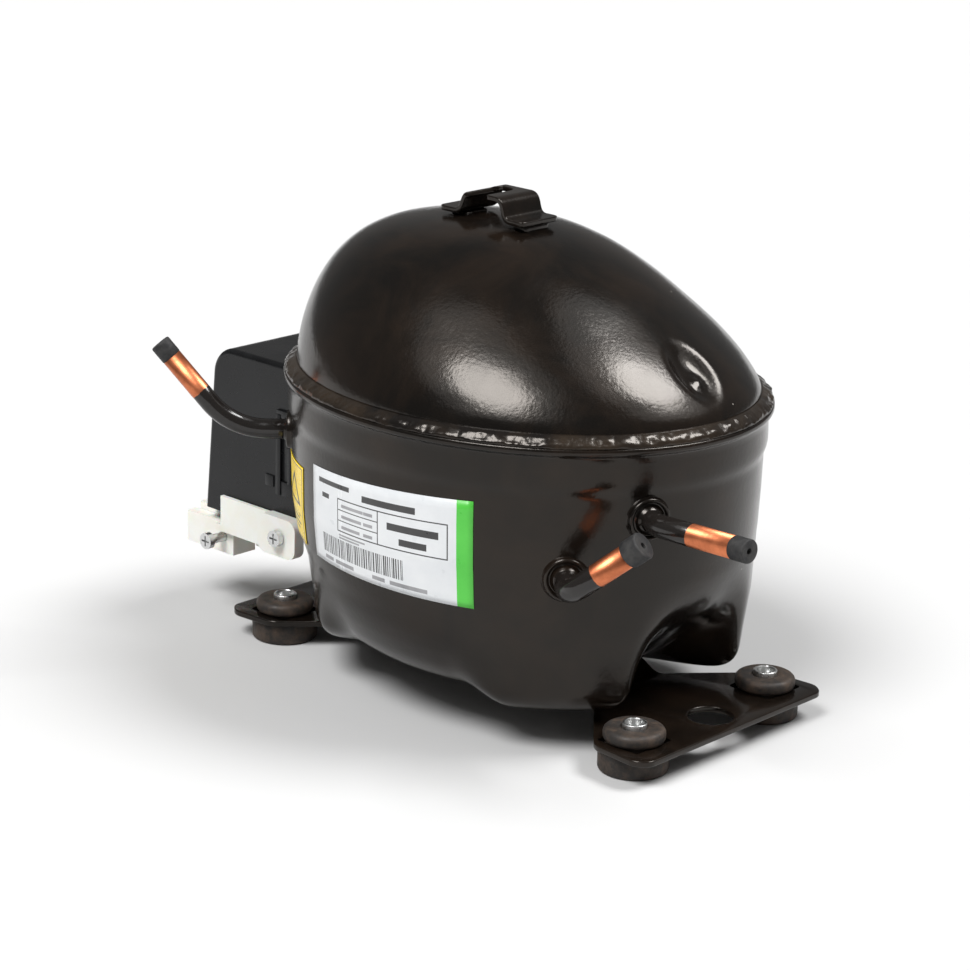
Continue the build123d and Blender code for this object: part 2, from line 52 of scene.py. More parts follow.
camera_data = bpy.data.cameras.new("camera")
camera_data.lens = 105.57
camera_data.sensor_width = 36.0
camera_data.shift_x = -0.0409
camera_data.shift_y = -0.0530
camera_data.clip_start = 0.05
camera_data.clip_end = 60.0
camera = bpy.data.objects.new("camera", camera_data)
bpy.context.scene.collection.objects.link(camera)
away = Vector((math.sin(view_turn) * math.cos(view_height),
               -math.cos(view_turn) * math.cos(view_height),
               math.sin(view_height)))
camera.rotation_mode = "QUATERNION"
camera.rotation_quaternion = (-away).to_track_quat("-Z", "Y") @ Quaternion((0, 0, 1), view_roll)
camera.location = look_at + away * view_distance
bpy.context.scene.camera = camera

# ---------------------------------------------------------------- light
# Two broad soft boxes hang far over the compressor, one in front and one behind,
# each with a wider, weaker spill round it, in a dim surround.
scene = bpy.context.scene
scene.view_settings.view_transform = "Standard"
surround = bpy.data.worlds.new("surround")
scene.world = surround
surround.use_nodes = True
back = surround.node_tree.nodes["Background"]
back.inputs["Color"].default_value = (0.96, 0.95, 0.94, 1)
back.inputs["Strength"].default_value = 0.19
lamps = [("front box", 0, 56, 27, 2.9), ("front spill", -4, 58, 50, 0.5),
         ("rear box", 140, 58, 24, 2.5), ("rear spill", 138, 58, 46, 0.5)]
for name, turn, height, wide, power in lamps:
    lamp_data = bpy.data.lights.new(name, "SUN")
    lamp_data.angle = math.radians(wide)
    lamp_data.energy = power
    lamp = bpy.data.objects.new(name, lamp_data)
    scene.collection.objects.link(lamp)
    t, h = math.radians(turn), math.radians(height)
    toward_lamp = Vector((math.sin(t) * math.cos(h), -math.cos(t) * math.cos(h), math.sin(h)))
    lamp.rotation_mode = "QUATERNION"
    lamp.rotation_quaternion = toward_lamp.to_track_quat("Z", "Y")

# ---------------------------------------------------------------- floor
# A plain pale tabletop that runs well past the view.
floor_reach = 7.0
bm = bmesh.new()
bmesh.ops.create_grid(bm, x_segments=1, y_segments=1, size=floor_reach)
mesh = bpy.data.meshes.new("floor")
bm.to_mesh(mesh)
bm.free()
floor = bpy.data.objects.new("floor", mesh)
scene.collection.objects.link(floor)
paint = bpy.data.materials.new("pale floor")
paint.use_nodes = True
shader = paint.node_tree.nodes["Principled BSDF"]
shader.inputs["Base Color"].default_value = (0.55, 0.55, 0.55, 1)
shader.inputs["Roughness"].default_value = 0.75
shader.inputs["Specular IOR Level"].default_value = 0.2
mesh.materials.append(paint)

# ---------------------------------------------------------------- lower shell
# Deep-drawn steel bowl with a rolled collar and lip.  Its floor is pushed in at
# both ends, which leaves four round pockets for the suspension springs.


def finish(bm, name, material, body="shell", replaces=(), angle=None):
    """Turns a bmesh into a piece that rides on a body and wears a material."""
    mesh = bpy.data.meshes.new(name)
    bm.to_mesh(mesh)
    bm.free()
    mesh.shade_smooth()
    if angle:
        mesh.set_sharp_from_angle(angle=math.radians(angle))
    piece = bpy.data.objects.new(name, mesh)
    bpy.context.scene.collection.objects.link(piece)
    mesh.materials.append(material)
    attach(piece, body)
    if replaces:
        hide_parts(*replaces)
    return piece


def wall(piece, thickness):
    """Gives an open sheet its thickness, inwards."""
    solid = piece.modifiers.new("wall", "SOLIDIFY")
    solid.thickness = thickness
    solid.offset = -1.0
    return piece


def node(tree, kind, **values):
    """A shader node with its settings and its plain input values."""
    made = tree.nodes.new(kind)
    for key, value in values.items():
        if hasattr(made, key):
            setattr(made, key, value)
        else:
            made.inputs[key].default_value = value
    return made


def grain(tree, size, detail=3.0, rough=0.5, warp=0.0, stretch=None):
    """Noise whose blotches are about `size` metres across, on the piece's own place."""
    place = node(tree, "ShaderNodeTexCoord")
    speckle = node(tree, "ShaderNodeTexNoise", Scale=1.0 / size, Detail=detail,
                   Roughness=rough, Distortion=warp)
    if stretch:
        turn = node(tree, "ShaderNodeMapping")
        turn.inputs["Scale"].default_value = stretch
        tree.links.new(place.outputs["Object"], turn.inputs["Vector"])
        tree.links.new(turn.outputs[0], speckle.inputs["Vector"])
    else:
        tree.links.new(place.outputs["Object"], speckle.inputs["Vector"])
    return speckle.outputs["Fac"]


def spread(tree, source, low, high, a, b):
    """Maps low..high of a value to a..b, held at the ends."""
    made = node(tree, "ShaderNodeMapRange")
    made.inputs["From Min"].default_value = low
    made.inputs["From Max"].default_value = high
    made.inputs["To Min"].default_value = a
    made.inputs["To Max"].default_value = b
    tree.links.new(source, made.inputs["Value"])
    return made.outputs["Result"]


def blend(tree, amount, one, two):
    """Mixes two colours, each a plain colour or a socket."""
    made = tree.nodes.new("ShaderNodeMix")
    made.data_type = "RGBA"
    tree.links.new(amount, made.inputs[0])
    for socket, value in ((made.inputs[6], one), (made.inputs[7], two)):
        if isinstance(value, (tuple, list)):
            socket.default_value = (*value, 1.0)
        else:
            tree.links.new(value, socket)
    return made.outputs[2]


def relief(tree, source, depth, strength=1.0, under=None):
    """A bump of that depth in metres."""
    made = node(tree, "ShaderNodeBump")
    made.inputs["Strength"].default_value = strength
    made.inputs["Distance"].default_value = depth
    tree.links.new(source, made.inputs["Height"])
    if under is not None:
        tree.links.new(under, made.inputs["Normal"])
    return made.outputs["Normal"]


def start(name, **sockets):
    """A new material, with its plain shader values set on the shader itself."""
    made = bpy.data.materials.new(name)
    made.use_nodes = True
    shader = made.node_tree.nodes["Principled BSDF"]
    for key, value in sockets.items():
        shader.inputs[key.replace("_", " ")].default_value = value
    return made, made.node_tree, shader


def enamel(name, peel=1.0, tone=(0.0032, 0.0026, 0.0022), warm=(0.0115, 0.0074, 0.0050)):
    """Gloss black-brown enamel: orange peel, cloudy warmth and a little dust."""
    made, tree, shader = start(name)
    shader.inputs["Specular IOR Level"].default_value = 0.37
    shader.inputs["Specular Tint"].default_value = (1.0, 0.93, 0.86, 1)
    cloud = grain(tree, 0.032, 5.0, 0.62, 0.6)
    colour = blend(tree, spread(tree, cloud, 0.38, 0.68, 0.0, 1.0), tone, warm)
    place = node(tree, "ShaderNodeTexCoord")
    cells = node(tree, "ShaderNodeTexVoronoi", Scale=95.0)
    tree.links.new(place.outputs["Object"], cells.inputs["Vector"])
    in_middle = spread(tree, cells.outputs["Distance"], 0.035, 0.022, 0.0, 1.0)
    cell_tone = node(tree, "ShaderNodeSeparateColor")
    tree.links.new(cells.outputs["Color"], cell_tone.inputs[0])
    few_cells = spread(tree, cell_tone.outputs[0], 0.86, 0.87, 0.0, 1.0)
    dust = node(tree, "ShaderNodeMath", operation="MULTIPLY")
    tree.links.new(in_middle, dust.inputs[0])
    tree.links.new(few_cells, dust.inputs[1])
    colour = blend(tree, dust.outputs[0], colour, (0.30, 0.28, 0.25))
    tree.links.new(colour, shader.inputs["Base Color"])
    film = grain(tree, 0.02, 4.0, 0.65)
    rough = spread(tree, film, 0.3, 0.75, 0.12, 0.24)
    tree.links.new(rough, shader.inputs["Roughness"])
    skin = grain(tree, 0.0014, 3.0, 0.55)
    lumps = grain(tree, 0.012, 2.0)
    first = relief(tree, lumps, 0.00007 * peel)
    tree.links.new(relief(tree, skin, 0.00005 * peel, 1.0, first), shader.inputs["Normal"])
    return made


shell_paint = enamel("black enamel")

pocket_floor = 14.0
pocket_round = 9.0
# (height, how far the wall is pushed in there), in millimetres
end_push = [(60, 0.0), (55, 1.0), (50, 2.8), (45, 5.6), (40, 9.4), (35, 14.0),
            (30, 19.0), (26, 23.0), (22, 28.0), (18, 34.0), (14, 42.0)]
side_push = [(46, 0.0), (38, 0.8), (32, 2.2), (26, 4.6), (22, 7.2), (19, 9.8), (16.5, 13.5), (14, 22.0)]


def along_curve(table, z):
    """Value at height z from (height, value) pairs listed downwards."""
    hs = [h for h, _ in table][::-1]
    vs = [v for _, v in table][::-1]
    return float(np.interp(z, hs, vs))


def ease(value, full, none):
    """1 inside `full`, 0 beyond `none`, and a smooth fall between."""
    t = min(1.0, max(0.0, (abs(value) - full) / (none - full)))
    return 1.0 - t * t * (3.0 - 2.0 * t)


def bowl_drift(z):
    """How far the bowl's middle moves towards the tube end, low down."""
    return float(np.interp(z, [30, 44, 53, 64], [3.2, 3.0, 1.0, 0.0]))


def bowl_point(turn, z, a, b):
    """A point of the lower shell's outside, in millimetres."""
    x, y = a * math.cos(turn), b * math.sin(turn)
    x += bowl_drift(z)
    if z < 62:
        x -= math.copysign(along_curve(end_push, z) * ease(y, 9.0, 31.0), x)
        y -= math.copysign(along_curve(side_push, z) * ease(x, 24.0, 46.0), y)
    return x, y, z


def bowl_size(z):
    """Half length and half width of the bowl before its ends are pushed in."""
    heights = [14, 30, 44, 53, 66, 80, 90, 96]
    a = np.interp(z, heights, [80.4, 82.0, 84.0, 86.0, 87.6, 88.2, 88.4, 88.8])
    b = np.interp(z, heights, [68.4, 70.0, 72.0, 74.0, 75.1, 75.5, 75.6, 76.0])
    below = pocket_floor + pocket_round - z
    if below > 0:
        cut = pocket_round - math.sqrt(max(0.0, pocket_round ** 2 - below ** 2))
        a, b = a - cut, b - cut
    return float(a), float(b)


def next_ring(bm, rim):
    """Extrudes the open rim by one ring, not yet moved; gives the new rim and its points."""
    made = bmesh.ops.extrude_edge_only(bm, edges=rim)["geom"]
    ring = [g for g in made if isinstance(g, bmesh.types.BMVert)]
    fresh = set(ring)
    edges = [g for g in made if isinstance(g, bmesh.types.BMEdge)]
    return [e for e in edges if all(v in fresh for v in e.verts)], ring


def ringed(rows, segments, place):
    """A bmesh of one ring for each row, where place(turn, number, row) is a point in millimetres."""
    bm = bmesh.new()
    turn_of = bm.verts.layers.float.new("turn")
    bmesh.ops.create_circle(bm, cap_ends=False, segments=segments, radius=1.0)
    for v in bm.verts:
        v[turn_of] = math.atan2(v.co.y, v.co.x)
    rim, ring = list(bm.edges), list(bm.verts)
    for number, row in enumerate(rows):
        if number:
            rim, ring = next_ring(bm, rim)
        for v in ring:
            v.co = Vector(place(v[turn_of], number, row)) * mm
    return bm, rim


shell_wall = 2.4
around = 288
# (height, half length, half width) from the lip down past the rolled collar
rows = [(110.0, 87.2, 74.2), (110.0, 90.8, 77.8), (109.7, 91.3, 78.3), (108.4, 91.4, 78.4),
        (107.7, 91.1, 78.1), (107.4, 90.5, 77.5), (107.0, 89.9, 76.9), (106.2, 89.5, 76.5),
        (104.0, 89.5, 76.5), (100.0, 89.7, 76.7), (97.5, 89.7, 76.7), (96.0, 89.5, 76.5),
        (94.6, 89.1, 76.1), (93.2, 88.6, 75.7), (91.8, 88.4, 75.5)]
z = 90.0
while z > 24.0:
    rows.append((z, *bowl_size(z)))
    z -= 2.1
for k in range(12):
    z = pocket_floor + pocket_round * (1.0 - math.sin(math.radians(90.0 * (k + 0.5) / 12.0)))
    rows.append((z, *bowl_size(z)))
rows.append((pocket_floor, *bowl_size(pocket_floor)))
bm, rim = ringed(rows, around, lambda turn, number, row: bowl_point(turn, *row))
for shrink in (0.9, 0.7, 0.4, 0.12):
    rim, ring = next_ring(bm, rim)
    for v in ring:
        v.co.x *= shrink if shrink > 0.8 else shrink / 0.9
        v.co.y *= shrink if shrink > 0.8 else shrink / 0.9
bmesh.ops.edgeloop_fill(bm, edges=rim)
bmesh.ops.recalc_face_normals(bm, faces=bm.faces)
wall(finish(bm, "lower_shell_skin", shell_paint, replaces=("lower_shell",)), shell_wall * mm)

# ---------------------------------------------------------------- upper shell
# Dome with a high shoulder over the electrical end and a long slope to the tube
# end, where one shallow oval dimple is pressed round a small button.
# (height, end beside the relay, end beside the tubes)
dome_rows = [(111.0, -86.9, 86.9), (113.5, -86.9, 86.7), (121.0, -86.6, 81.5), (130.0, -85.3, 71.5),
             (140.0, -82.0, 57.0), (148.0, -77.0, 44.5), (155.0, -69.5, 31.5), (160.0, -60.0, 19.0),
             (163.4, -46.0, 6.0), (165.1, -28.0, -9.0), (165.5, -20.0, -16.5)]
dome_width = 0.8504
dimple_at = Vector((74.4, 1.0, 128.6)) * mm
dimple_out = Vector((0.72, 0.0, 0.69)).normalized()
dimple_half_length, dimple_half_width = 14.5, 10.0
dimple_depth, button_height = 3.3, 2.4


def flowing(rows, count):
    """More rows on a smooth curve through these, evenly spaced along it."""
    table = np.array(rows, float)
    step = np.r_[0, np.cumsum(np.sqrt(np.sum(np.diff(table[:, :2], axis=0) ** 2, axis=1)))]
    slope = np.gradient(table, step, axis=0)
    fine = []
    for s in np.linspace(0, step[-1], count):
        k = min(max(int(np.searchsorted(step, s)) - 1, 0), len(step) - 2)
        h = step[k + 1] - step[k]
        t = (s - step[k]) / h
        fine.append((2 * t ** 3 - 3 * t ** 2 + 1) * table[k] + (t ** 3 - 2 * t ** 2 + t) * h * slope[k]
                    + (3 * t ** 2 - 2 * t ** 3) * table[k + 1] + (t ** 3 - t ** 2) * h * slope[k + 1])
    return fine


def dome_point(turn, number, row):
    """A point of the dome's outside, in millimetres."""
    z, x0, x1 = row
    a = (x1 - x0) / 2
    return (x0 + x1) / 2 + a * math.cos(turn), a * dome_width * math.sin(turn), z


bm, rim = ringed(flowing(dome_rows, 84), around, dome_point)
bmesh.ops.edgeloop_fill(bm, edges=rim)
bmesh.ops.recalc_face_normals(bm, faces=bm.faces)
for v in bm.verts:
    off = v.co - dimple_at
    lift = off.dot(dimple_out)
    flat = off - dimple_out * lift
    slide = flat.dot(Vector((dimple_out.z, 0, -dimple_out.x)))
    reach = math.hypot(slide / dimple_half_length, flat.y / dimple_half_width) / mm
    if abs(lift) < 8 * mm and reach < 1.0:
        hollow = dimple_depth * (1 - reach ** 3) ** 2
        from_button = math.hypot((slide / mm - 4.0) / 3.2, flat.y / mm / 3.0)
        button = button_height * math.exp(-from_button ** 2 * 1.4)
        v.co -= dimple_out * (hollow - button) * mm
wall(finish(bm, "upper_shell_skin", shell_paint, replaces=("upper_shell",)), shell_wall * mm)

# ---------------------------------------------------------------- weld
# Thick bead of weld metal in the corner between lip and dome, run round the
# whole shell and painted over, so it looks wet and lumpy.
weld_paint = enamel("enamel over weld", 1.8, (0.006, 0.005, 0.0045), (0.030, 0.021, 0.014))
joint_half_length, joint_half_width = 86.9, 73.9
# (how far the bead stands out from the joint, height), from the lip up to the dome
weld_section = [(4.0, 109.9), (4.1, 110.5), (3.7, 111.3), (3.0, 112.0), (2.2, 112.7),
                (1.4, 113.2), (0.6, 113.6), (-0.1, 113.9), (-0.6, 113.0)]


def weld_point(t, number, row):
    """A point of the bead, lumpy in the middle of its section and calm at its edges."""
    proud, z = row
    run = Vector((math.cos(t), math.sin(t), 0))
    lump = noise.noise(run * 17 + Vector((0, 0, z * 0.8)))
    lump += 0.55 * noise.noise(run * 48 + Vector((3, 0, z * 1.7)))
    lump += 0.25 * noise.noise(run * 130 + Vector((0, 5, z * 2.2)))
    inner = number / (len(weld_section) - 1)
    swell = 0.62 * lump * math.sin(math.pi * min(1.0, inner + 0.15))
    wide = proud + swell
    return ((joint_half_length + wide) * math.cos(t), (joint_half_width + wide) * math.sin(t),
            z + 0.6 * swell)


bm, rim = ringed(weld_section, 900, weld_point)
bmesh.ops.recalc_face_normals(bm, faces=bm.faces)
wall(finish(bm, "weld_run", weld_paint, replaces=("weld_bead",)), 0.6 * mm)

# ---------------------------------------------------------------- base brackets
# Pressed steel cross-plates.  A tongue on each steps up under the bowl between
# two pockets, where it is welded; square holes take the rubber feet.


def rounded(points, radius):
    """A closed outline with each corner (x, y, radius) turned into an arc."""
    steps = 5
    done = []
    count = len(points)
    for i in range(count):
        p = Vector(points[i][:2])
        r = points[i][2] if len(points[i]) > 2 else radius
        a = (Vector(points[i - 1][:2]) - p)
        b = (Vector(points[(i + 1) % count][:2]) - p)
        corner = a.angle(b)
        cut = min(r / math.tan(corner / 2), a.length * 0.49, b.length * 0.49) if r > 0 else 0
        if cut <= 0:
            done.append(p)
            continue
        one, two = p + a.normalized() * cut, p + b.normalized() * cut
        for k in range(steps + 1):
            t = k / steps
            done.append((1 - t) ** 2 * one + 2 * t * (1 - t) * p + t ** 2 * two)
    return done


def sheet_metal(name, outlines, thickness, edge):
    """A flat plate in millimetres from its outline and holes, with its edges eased."""
    curve = bpy.data.curves.new(name, "CURVE")
    curve.dimensions = "2D"
    curve.fill_mode = "BOTH"
    curve.extrude = thickness / 2 - edge
    curve.bevel_depth = edge
    curve.bevel_resolution = 2
    curve.offset = -edge
    for outline in outlines:
        spline = curve.splines.new("POLY")
        spline.points.add(len(outline) - 1)
        for point, p in zip(spline.points, outline):
            point.co = (p.x, p.y, 0, 1)
        spline.use_cyclic_u = True
    holder = bpy.data.objects.new(name, curve)
    bpy.context.scene.collection.objects.link(holder)
    bpy.context.view_layer.update()
    flat = bpy.data.meshes.new_from_object(holder)
    bpy.data.objects.remove(holder)
    bm = bmesh.new()
    bm.from_mesh(flat)
    bmesh.ops.remove_doubles(bm, verts=bm.verts, dist=0.01)
    return bm


def slice_at(bm, places, direction):
    """Cuts the plate across at each place, so that it can be bent there."""
    for place in places:
        everything = list(bm.verts) + list(bm.edges) + list(bm.faces)
        bmesh.ops.bisect_plane(bm, geom=everything, plane_co=Vector(direction) * place,
                               plane_no=Vector(direction), dist=0.001)


hole_x, hole_y = 85.0, 35.0
plate_mid = 9.1
plate_thick = 2.2
tongue_lift = 4.3
relief_x, relief_r = 89.2, 8.0
half = [(28, -17, 0), (51, -17, 6), (78.5, -48, 7), (97, -49.4, 7), (101.4, -45.5, 5)]
outline = half + [(x, -y, r) for x, y, r in reversed(half)]
square = [(-8.8, -8.8), (8.8, -8.8), (8.8, 8.8), (-8.8, 8.8)]
for end, side in (("tube_end", 1), ("relay_end", -1)):
    holes = [rounded([(x + hole_x, y + s * hole_y) for x, y in square], 1.2) for s in (-1, 1)]
    turns = np.linspace(0, 2 * math.pi, 48, endpoint=False)
    ring = [Vector((relief_x + relief_r * math.cos(t), relief_r * math.sin(t))) for t in turns]
    bm = sheet_metal("plate", [rounded(outline, 4)] + holes + [ring], plate_thick, 0.45)
    slice_at(bm, [41, 42, 43, 44, 45, 47, 49, 51, 52, 53, 54], (1, 0, 0))
    for v in bm.verts:
        step = 1.0 - min(1.0, max(0.0, (v.co.x - 42.0) / 11.0))
        v.co.z += plate_mid + tongue_lift * step * step * (3 - 2 * step)
        v.co.x *= side
    bmesh.ops.scale(bm, vec=(mm, mm, mm), verts=bm.verts)
    bmesh.ops.recalc_face_normals(bm, faces=bm.faces)
    finish(bm, "bracket_" + end, shell_paint, replaces=("base_bracket_" + end,), angle=40)

# ---------------------------------------------------------------- rubber feet
# Moulded rubber grommets pushed through the square holes, each round a plated
# steel sleeve that stops the bolt from crushing it.


def turned(profile, steps=64):
    """A bmesh turned about Z from (radius, height) pairs in millimetres."""
    bm = bmesh.new()
    line = [bm.verts.new((r * mm, 0, z * mm)) for r, z in profile]
    for a, b in zip(line, line[1:]):
        bm.edges.new((a, b))
    bmesh.ops.spin(bm, geom=list(bm.verts) + list(bm.edges), axis=(0, 0, 1), cent=(0, 0, 0),
                   angle=2 * math.pi, steps=steps, use_merge=True)
    bmesh.ops.remove_doubles(bm, verts=bm.verts, dist=1e-7)
    bmesh.ops.recalc_face_normals(bm, faces=bm.faces)
    return bm


def arc(cx, cz, r, a0, a1, steps=5):
    """Points of a round in a turned profile."""
    return [(cx + r * math.cos(math.radians(a0 + (a1 - a0) * k / steps)),
             cz + r * math.sin(math.radians(a0 + (a1 - a0) * k / steps))) for k in range(steps + 1)]


def rubber(name, tone, dust):
    """Matt black rubber with a bloom of dust."""
    made, tree, shader = start(name)
    shader.inputs["Specular IOR Level"].default_value = 0.35
    bloom = spread(tree, grain(tree, 0.006, 6.0, 0.7), 0.42, 0.8, 0.0, 1.0)
    tree.links.new(blend(tree, bloom, tone, dust), shader.inputs["Base Color"])
    matt = spread(tree, grain(tree, 0.004, 3.0), 0.3, 0.7, 0.5, 0.72)
    tree.links.new(matt, shader.inputs["Roughness"])
    tree.links.new(relief(tree, grain(tree, 0.0009, 4.0), 0.00006), shader.inputs["Normal"])
    return made


foot_rubber = rubber("foot rubber", (0.020, 0.017, 0.015), (0.095, 0.062, 0.042))
made, tree, shader = start("bright zinc", Metallic=1.0)
streak = grain(tree, 0.0022, 5.0, 0.6)
tree.links.new(blend(tree, streak, (0.52, 0.53, 0.54), (0.80, 0.80, 0.78)), shader.inputs["Base Color"])
tree.links.new(spread(tree, streak, 0.3, 0.7, 0.22, 0.42), shader.inputs["Roughness"])
tree.links.new(relief(tree, grain(tree, 0.0006, 3.0), 0.00002), shader.inputs["Normal"])
bright_zinc = made
# (radius, height): foot block, neck in the square hole, and the bead above the plate
foot_profile = ([(4.2, 0.5), (4.9, 0.0)] + arc(10.8, 1.2, 1.2, -90, 0)
                + [(12.0, 4.0)] + arc(11.3, 7.1, 0.8, 0, 90)
                + [(9.2, 7.97), (8.0, 8.05), (7.9, 8.4), (7.9, 10.0), (8.1, 10.22)]
                + arc(9.0, 11.8, 1.55, -90, 0) + [(10.58, 12.4)] + arc(8.6, 12.9, 2.0, 0, 88)
                + [(6.2, 15.0), (4.7, 14.9), (4.2, 14.5), (4.2, 0.5)])
sleeve_profile = ([(3.1, 0.4), (3.4, 0.0), (4.0, 0.0), (4.18, 0.3), (4.18, 16.1)]
                  + arc(3.85, 16.15, 0.33, 0, 90, 3) + [(3.4, 16.48), (3.1, 16.1), (3.1, 0.4)])
places = {"front_tube_end": (1, -1), "back_tube_end": (1, 1),
          "front_relay_end": (-1, -1), "back_relay_end": (-1, 1)}
first = True
for where, (sx, sy) in places.items():
    bm = turned(foot_profile, 72)
    bmesh.ops.translate(bm, vec=Vector((sx * hole_x, sy * hole_y, 0)) * mm, verts=bm.verts)
    finish(bm, "grommet_" + where, foot_rubber, replaces=("foot_" + where,), angle=50)
    bm = turned(sleeve_profile, 48)
    bmesh.ops.translate(bm, vec=Vector((sx * hole_x, sy * hole_y, 0)) * mm, verts=bm.verts)
    finish(bm, "sleeve_" + where, bright_zinc, replaces=("foot_sleeves",) if first else (), angle=40)
    first = False

# ---------------------------------------------------------------- top clip
# Steel strip folded into a hat, with a slot open to the label side, standing on
# two pads welded to the dome.
fold = [(-35.4, 166.7), (-25.8, 166.7), (-22.9, 173.7), (-6.3, 173.7), (-4.1, 166.7), (4.4, 166.7)]
path = [Vector(fold[0])]
for i in range(1, len(fold) - 1):
    p = Vector(fold[i])
    a, b = (Vector(fold[i - 1]) - p).normalized(), (Vector(fold[i + 1]) - p).normalized()
    one, two = p + a * 2.6, p + b * 2.6
    for k in range(9):
        t = k / 8
        path.append(one * ((1 - t) ** 2) + p * (2 * t * (1 - t)) + two * (t * t))
path.append(Vector(fold[-1]))
length = [0.0]
for a, b in zip(path, path[1:]):
    length.append(length[-1] + (b - a).length)


def on_fold(s, lift):
    """Place on the folded strip at length s, lifted off its middle."""
    k = min(max(int(np.searchsorted(length, s)) - 1, 0), len(path) - 2)
    t = (s - length[k]) / (length[k + 1] - length[k])
    one, two = path[max(k - 1, 0)], path[min(k + 2, len(path) - 1)]
    spot = path[k].lerp(path[k + 1], t)
    run = ((path[k + 1] - path[k]).normalized() * 0.5 + (two - one).normalized() * 0.5).normalized()
    return Vector((spot.x - run.y * lift, spot.y + run.x * lift))


total = length[-1]
top_start = next(s for s, p in zip(length, path) if p.x > -21.0)
slot_a, slot_b = top_start - 1.2, top_start + 8.0
strip = [(0, -9.5, 2.5), (slot_a, -9.5, 1.2), (slot_a, 6.2, 4.2), (slot_b, 6.2, 4.2),
         (slot_b, -9.5, 1.2), (total, -9.5, 2.5), (total, 9.5, 2.5), (0, 9.5, 2.5)]
bm = sheet_metal("clip", [rounded(strip, 1)], 1.8, 0.35)
slice_at(bm, list(np.linspace(0.5, total - 0.5, 96)), (1, 0, 0))
for v in bm.verts:
    spot = on_fold(min(max(v.co.x, 0.0), total), v.co.z)
    v.co = Vector((spot.x, v.co.y, spot.y)) * mm
for x0, x1, z0 in ((-33.0, -25.6, 162.0), (-3.4, 3.0, 160.0)):
    made = bmesh.ops.create_cube(bm, size=1.0)["verts"]
    bmesh.ops.scale(bm, vec=Vector((x1 - x0, 12.0, 165.9 - z0)) * mm, verts=made)
    bmesh.ops.translate(bm, vec=Vector(((x0 + x1) / 2, 0, (165.9 + z0) / 2)) * mm, verts=made)
    edges = [e for e in bm.edges if e.verts[0] in made and e.verts[1] in made]
    bmesh.ops.bevel(bm, geom=edges, offset=1.2 * mm, segments=3, profile=0.5, affect="EDGES",
                    material=-1)
bmesh.ops.recalc_face_normals(bm, faces=bm.faces)
finish(bm, "clip_strip", shell_paint, replaces=("top_clip",), angle=35)

# ---------------------------------------------------------------- tubes
# Copper tubes brazed into round bosses on the shell.  They are painted with the
# shell except for a masked band, and a rubber plug closes each end.
tube_wall = 0.8


def toward(a, b):
    """The direction from a to b."""
    return (Vector(b) - Vector(a)).normalized()


def bent_tube(name, points, bend, r, material, replaces):
    """An open tube along straight runs joined by round bends, in millimetres."""
    line = []
    for i, p in enumerate(points):
        p = Vector(p)
        if 0 < i < len(points) - 1:
            a, b = toward(p, points[i - 1]), toward(p, points[i + 1])
            corner = a.angle(b)
            cut = bend / math.tan(corner / 2)
            centre = p + (a + b).normalized() * (bend / math.sin(corner / 2))
            one, two = p + a * cut - centre, p + b * cut - centre
            line += [centre + one.slerp(two, k / 16) * bend for k in range(17)]
        else:
            line.append(p)
    curve = bpy.data.curves.new(name, "CURVE")
    curve.dimensions = "3D"
    curve.bevel_depth = r * mm
    curve.bevel_resolution = 10
    curve.twist_mode = "MINIMUM"
    spline = curve.splines.new("POLY")
    spline.points.add(len(line) - 1)
    for point, p in zip(spline.points, line):
        point.co = (*(p * mm), 1)
    holder = bpy.data.objects.new(name, curve)
    bpy.context.scene.collection.objects.link(holder)
    bpy.context.view_layer.update()
    mesh = bpy.data.meshes.new_from_object(holder)
    bpy.data.objects.remove(holder)
    bm = bmesh.new()
    bm.from_mesh(mesh)
    bmesh.ops.remove_doubles(bm, verts=bm.verts, dist=1e-6)
    return wall(finish(bm, name, material, replaces=replaces), tube_wall * mm)


def masked_copper(name, edge, run):
    """Drawn copper past the masking edge along `run`, black enamel before it."""
    made, tree, shader = start(name)
    place = node(tree, "ShaderNodeTexCoord")
    past = node(tree, "ShaderNodeVectorMath", operation="DOT_PRODUCT")
    past.inputs[1].default_value = run
    tree.links.new(place.outputs["Object"], past.inputs[0])
    ragged = node(tree, "ShaderNodeMath", operation="MULTIPLY_ADD")
    ragged.inputs[1].default_value = 0.0012
    tree.links.new(grain(tree, 0.003, 4.0), ragged.inputs[0])
    tree.links.new(past.outputs["Value"], ragged.inputs[2])
    level = Vector(edge).dot(Vector(run)) * mm + 0.0006
    bare = spread(tree, ragged.outputs[0], level - 0.00012, level + 0.00012, 0.0, 1.0)
    tarnish = spread(tree, grain(tree, 0.006, 5.0, 0.6), 0.35, 0.75, 0.0, 1.0)
    copper = blend(tree, tarnish, (0.68, 0.22, 0.10), (0.38, 0.11, 0.05))
    tree.links.new(blend(tree, bare, (0.012, 0.010, 0.009), copper), shader.inputs["Base Color"])
    tree.links.new(bare, shader.inputs["Metallic"])
    tree.links.new(spread(tree, bare, 0.0, 1.0, 0.14, 0.38), shader.inputs["Roughness"])
    tree.links.new(relief(tree, grain(tree, 0.0012, 3.0), 0.00003), shader.inputs["Normal"])
    return made


